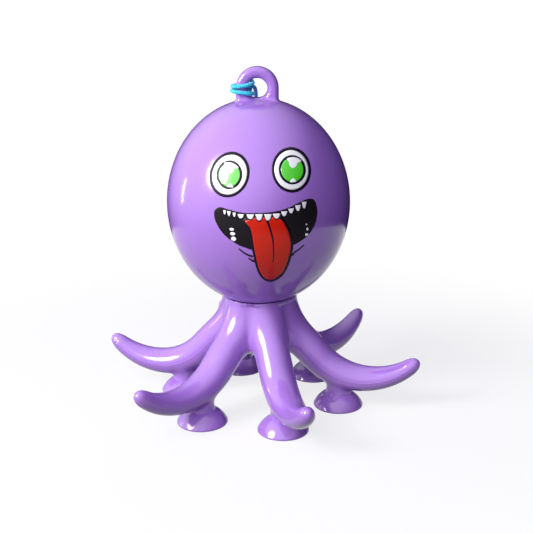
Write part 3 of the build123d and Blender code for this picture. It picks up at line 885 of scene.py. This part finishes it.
# %% Parting line
tree = base_vinyl.node_tree
above = add(tree, "ShaderNodeAttribute")
above.attribute_name = "parting"
squared, narrow = add(tree, "ShaderNodeMath", "MULTIPLY"), add(tree, "ShaderNodeMath", "MULTIPLY", _1=60.0)
bell = add(tree, "ShaderNodeMath", "POWER", _0=0.5)
ridge = add(tree, "ShaderNodeBump", Strength=0.5, Distance=0.00012)
shader = tree.nodes["Principled BSDF"]
wire(tree, (above.outputs["Fac"], squared.inputs[0]), (above.outputs["Fac"], squared.inputs[1]),
     (squared.outputs[0], narrow.inputs[0]), (narrow.outputs[0], bell.inputs[1]),
     (bell.outputs[0], ridge.inputs["Height"]), (base_dent.outputs["Normal"], ridge.inputs["Normal"]),
     (ridge.outputs["Normal"], shader.inputs["Normal"]),
     (ridge.outputs["Normal"], shader.inputs["Coat Normal"]))
print("the line is half as high", round(1 / sqrt(60), 2), "mm from the leg's middle")

# %% [markdown]
# ### The braid
# The cord is a fine round braid. Strands that lean left and strands that lean right cross on
# it. Each family is a sine of the distance along the cord plus or minus the way round it, and
# the higher of the two is the one on top.

# %% Braid
BRAID_ALONG, BRAID_ROUND = 210, 3
tree = cord_fibre.node_tree
place, split = add(tree, "ShaderNodeUVMap"), add(tree, "ShaderNodeSeparateXYZ")


def strands(lean):
    """Sine of 210 turns along the cord plus or minus three turns round it."""
    along = add(tree, "ShaderNodeMath", "MULTIPLY", _1=2 * pi * BRAID_ALONG)
    around = add(tree, "ShaderNodeMath", "MULTIPLY", _1=lean * 2 * pi * BRAID_ROUND)
    total, wave = add(tree, "ShaderNodeMath", "ADD"), add(tree, "ShaderNodeMath", "SINE")
    wire(tree, (split.outputs["X"], along.inputs[0]), (split.outputs["Y"], around.inputs[0]),
         (along.outputs[0], total.inputs[0]), (around.outputs[0], total.inputs[1]),
         (total.outputs[0], wave.inputs[0]))
    return wave.outputs[0]


over = add(tree, "ShaderNodeMath", "MAXIMUM")
weave = add(tree, "ShaderNodeBump", Strength=0.6, Distance=0.0001)
wire(tree, (place.outputs["UV"], split.inputs[0]), (strands(1), over.inputs[0]), (strands(-1), over.inputs[1]),
     (over.outputs[0], weave.inputs["Height"]), (weave.outputs["Normal"], cord_shader.inputs["Normal"]))

# %% Giving each piece its finish
finishes = [
    (base_vinyl, "soft_vinyl", [hub_skin, neck, *leg_skins, *tip_skins, *cups]),
    (head_vinyl, "head_vinyl", [ball, eyelet]),
    (black_ink, "head_vinyl", [eye_line, iris_ring, tongue_edge, furrow, tooth_edge, crease]),
    (mouth_ink, "head_vinyl", [mouth]),
    (white_ink, "head_vinyl", [eye_white, glint, teeth]),
    (green_ink, "head_vinyl", [iris]),
    (red_ink, "head_vinyl", [tongue]),
    (cord_fibre, "cord", [cord, knot]),
]
for finish, slot, things in finishes:
    for thing in things:
        thing.data.materials.append(finish)
print("finished", sum(len(things) for _, _, things in finishes), "pieces")

# %% [markdown]
# ## Floor and light
# A pale floor carries the cups and their soft shadow. One large lamp could both light the toy
# and be mirrored in it, but then a bright window would have to be a bright light. Here the
# two are kept apart. Five soft lamps only light: the sun from the upper left, three fills and
# one from behind. The glare lamp is only mirrored, as the white spot on eyes and legs. A
# narrow edge lamp does both, and draws the short line on the ball's left. The world gives a
# faint bluish fill, and shows a shiny surface a broad white window high on the left.

# %% Floor
# To the camera and in mirrors the floor is mostly a plain white glow, and the rest is a lit
# surface that takes the shadow. That rest is FLOOR_SHARE near the toy and fades out with
# distance. Light that bounces off the floor finds it dark, so the toy isn't lit from below.
FLOOR_R, FLOOR_SHARE = 170.0, 0.24
pale_floor = bpy.data.materials.new("pale_floor")
pale_floor.use_nodes = True
tree = pale_floor.node_tree
tree.nodes.clear()
lit = add(tree, "ShaderNodeBsdfDiffuse")
glow = add(tree, "ShaderNodeEmission", Color=(1, 1, 1, 1))
shade = add(tree, "ShaderNodeMapRange", To_Min=0.08, To_Max=0.9)
path = add(tree, "ShaderNodeLightPath")
either, any_ray = add(tree, "ShaderNodeMath", "MAXIMUM"), add(tree, "ShaderNodeMath", "MAXIMUM")
spot, far = add(tree, "ShaderNodeTexCoord"), add(tree, "ShaderNodeVectorMath", "LENGTH")
fade = add(tree, "ShaderNodeMapRange", From_Min=0.06, From_Max=0.16, To_Min=1 - FLOOR_SHARE, To_Max=1.0)
fade.interpolation_type = "SMOOTHSTEP"
share, mix = add(tree, "ShaderNodeMath", "MULTIPLY"), add(tree, "ShaderNodeMixShader")
output = add(tree, "ShaderNodeOutputMaterial")
wire(tree, (path.outputs["Is Camera Ray"], either.inputs[0]), (path.outputs["Is Glossy Ray"], either.inputs[1]),
     (either.outputs[0], any_ray.inputs[0]), (path.outputs["Is Transmission Ray"], any_ray.inputs[1]),
     (path.outputs["Is Camera Ray"], shade.inputs["Value"]), (shade.outputs["Result"], lit.inputs["Color"]),
     (spot.outputs["Object"], far.inputs[0]), (far.outputs["Value"], fade.inputs["Value"]),
     (any_ray.outputs[0], share.inputs[0]), (fade.outputs["Result"], share.inputs[1]),
     (share.outputs[0], mix.inputs["Fac"]), (lit.outputs[0], mix.inputs[1]), (glow.outputs[0], mix.inputs[2]),
     (mix.outputs[0], output.inputs["Surface"]))

turn = np.linspace(0, 2 * pi, 96, endpoint=False)
floor_rim = FLOOR_R * MM * np.c_[np.cos(turn), np.sin(turn), 0 * turn]
floor_mesh = bpy.data.meshes.new("floor")
floor_mesh.from_pydata(floor_rim.tolist(), [], [list(range(96))])
floor = bpy.data.objects.new("floor", floor_mesh)
bpy.context.scene.collection.objects.link(floor)
floor.data.materials.append(pale_floor)
print("floor", 2 * FLOOR_R, "mm across")

# %% World
# How far a direction points at the window is its dot product with the window's own direction.
world = bpy.context.scene.world or bpy.data.worlds.new("world")
bpy.context.scene.world = world
world.use_nodes = True
tree = world.node_tree
tree.nodes.clear()
aim = add(tree, "ShaderNodeTexCoord")
window = add(tree, "ShaderNodeVectorMath", "DOT_PRODUCT", _1=(-0.57, -0.3, 0.765))
room = add(tree, "ShaderNodeMapRange", From_Min=0.0, From_Max=1.0, To_Min=0.18, To_Max=0.28)
sheen = add(tree, "ShaderNodeMapRange", From_Min=-0.2, From_Max=1.0, To_Min=0.0, To_Max=2.8)
sheen.interpolation_type = "SMOOTHSTEP"
fill = add(tree, "ShaderNodeBackground", Color=(0.44, 0.36, 1, 1))
glass = add(tree, "ShaderNodeBackground", Color=(1, 1, 1, 1))
seen = add(tree, "ShaderNodeBackground", Color=(1, 1, 1, 1), Strength=1.0)
path, either = add(tree, "ShaderNodeLightPath"), add(tree, "ShaderNodeMath", "MAXIMUM")
lit_or_shiny, mix = add(tree, "ShaderNodeMixShader"), add(tree, "ShaderNodeMixShader")
output = add(tree, "ShaderNodeOutputWorld")
wire(tree, (aim.outputs["Generated"], window.inputs[0]), (window.outputs["Value"], room.inputs["Value"]),
     (window.outputs["Value"], sheen.inputs["Value"]), (room.outputs["Result"], fill.inputs["Strength"]),
     (sheen.outputs["Result"], glass.inputs["Strength"]),
     (path.outputs["Is Glossy Ray"], lit_or_shiny.inputs["Fac"]),
     (fill.outputs[0], lit_or_shiny.inputs[1]), (glass.outputs[0], lit_or_shiny.inputs[2]),
     (path.outputs["Is Camera Ray"], either.inputs[0]), (path.outputs["Is Transmission Ray"], either.inputs[1]),
     (either.outputs[0], mix.inputs["Fac"]), (lit_or_shiny.outputs[0], mix.inputs[1]),
     (seen.outputs[0], mix.inputs[2]), (mix.outputs[0], output.inputs["Surface"]))
bpy.context.scene.view_settings.view_transform = "Standard"
print("world made of", len(tree.nodes), "nodes")


# %% Lamps
AIM_Z = 50.0


def lamp(name, direction, distance, size, watts, tall=None, mirrored=True, lighting=True):
    """A soft light that stands in a direction from a point low in the ball and looks back at
    it, at a distance and of a size in millimetres. mirrored says whether gloss shows it, and
    lighting whether it lights the colour."""
    data = bpy.data.lights.new(name, "AREA")
    data.shape, data.size, data.energy = ("DISK" if tall is None else "RECTANGLE"), size * MM, watts
    if tall is not None:
        data.size_y = tall * MM
    made = bpy.data.objects.new(name, data)
    aim = Vector(direction).normalized()
    made.matrix_world = Matrix.Translation(
        Vector((0, 0, AIM_Z * MM)) + aim * distance * MM
    ) @ aim.to_track_quat("Z", "Y").to_matrix().to_4x4()
    made.visible_glossy, made.visible_diffuse = mirrored, lighting
    bpy.context.scene.collection.objects.link(made)
    print(f"{name} lamp: {watts} W from {distance} mm")


lamp("sun", (-0.75, -0.44, 0.495), 600, 200, 2.5, mirrored=False)
lamp("top", (-0.5, -0.5, 0.7), 700, 400, 1.5, mirrored=False)
lamp("side", (-0.9, -0.35, 0.35), 700, 400, 1.2, mirrored=False)
lamp("front", (-0.05, -0.9, 0.42), 700, 500, 2.0, mirrored=False)
lamp("glare", (-0.745, -0.455, 0.495), 600, 300, 5.5, lighting=False)
lamp("back", (0.35, 0.85, 0.45), 700, 600, 1.0, mirrored=False)
lamp("edge", (-0.95, 0.27, 0.05), 600, 30, 0.22, 150)
